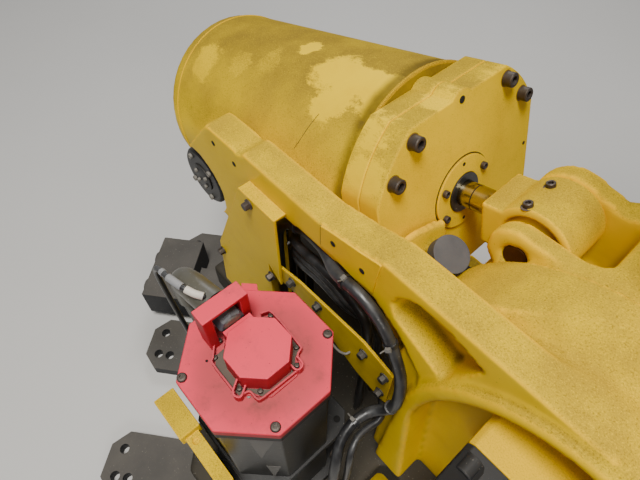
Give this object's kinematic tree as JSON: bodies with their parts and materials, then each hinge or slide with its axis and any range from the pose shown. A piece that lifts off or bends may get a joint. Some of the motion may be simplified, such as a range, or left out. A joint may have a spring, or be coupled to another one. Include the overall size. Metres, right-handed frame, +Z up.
{
  "type": "industrial robot arm shoulder section",
  "caption": "Shoulder of a floor-mounted industrial robot arm: base, slewing turret with balancer and motors, lower arm up to its elbow face, in worn yellow paint.",
  "frame": {"origin": "on the floor, on the slewing axis, at the centre of the base casting's underside", "axes": "+Z up along the slewing axis, +X from the slewing axis towards the lower arm, +Y to the side away from the motors"},
  "size_m": [1.3818, 1.3202, 1.885],
  "materials": {
    "yellow_paint": "satin",
    "dark_casting": "matte",
    "black_paint": "satin",
    "red_plastic": "satin",
    "chromed_rod": "polished",
    "pin_steel": "worn",
    "black_rubber": "matte",
    "grey_buffer": "matte",
    "dark_steel": "satin"
  },
  "bodies": {
    "base": {"anchor_plate_1": "dark_casting", "anchor_plate_2": "dark_casting", "anchor_plate_3": "dark_casting", "anchor_plate_4": "dark_casting", "anchor_plate_5": "dark_casting", "anchor_plate_6": "dark_casting", "base_casting": "yellow_paint", "base_centre_plate": "dark_casting", "base_connector_box": "dark_casting", "slew_bearing": "dark_steel"},
    "turret": {"arm_pin": "pin_steel", "balancer_cover": "yellow_paint", "balancer_flange": "yellow_paint", "balancer_rod": "chromed_rod", "balancer_tube": "yellow_paint", "cable_front": "black_rubber", "cable_middle": "black_rubber", "cable_rear": "black_rubber", "cable_slim": "black_rubber", "cable_upper": "black_rubber", "connector_guard": "red_plastic", "far_wall": "yellow_paint", "gland_ring": "yellow_paint", "lower_arm": "yellow_paint", "near_wall": "yellow_paint", "power_cable": "black_rubber", "rod_eye": "yellow_paint", "rod_seal": "black_rubber", "shoulder_cover": "yellow_paint", "shoulder_encoder_cap": "red_plastic", "shoulder_motor_body": "black_paint", "shoulder_motor_flange": "dark_casting", "shoulder_motor_plate": "red_plastic", "shoulder_mount_block": "yellow_paint", "side_bracket": "yellow_paint", "slew_encoder_cap": "red_plastic", "slew_motor_body": "black_paint", "slew_motor_flange": "dark_casting", "slew_motor_plate": "red_plastic", "stop_bumper": "grey_buffer", "strip_bracket": "yellow_paint", "tab_bracket": "yellow_paint", "tag_cable": "black_rubber", "trunnion_cover_far": "black_paint", "trunnion_cover_near": "black_paint", "turret_deck": "yellow_paint"}
  },
  "joints": [
    {"name": "turret_swing", "type": "hinge", "parent": "base", "child": "turret", "pos_m": [0, 0, 0.2], "axis": [0, 0, 1], "range_deg": [-180, 180]}
  ]
}
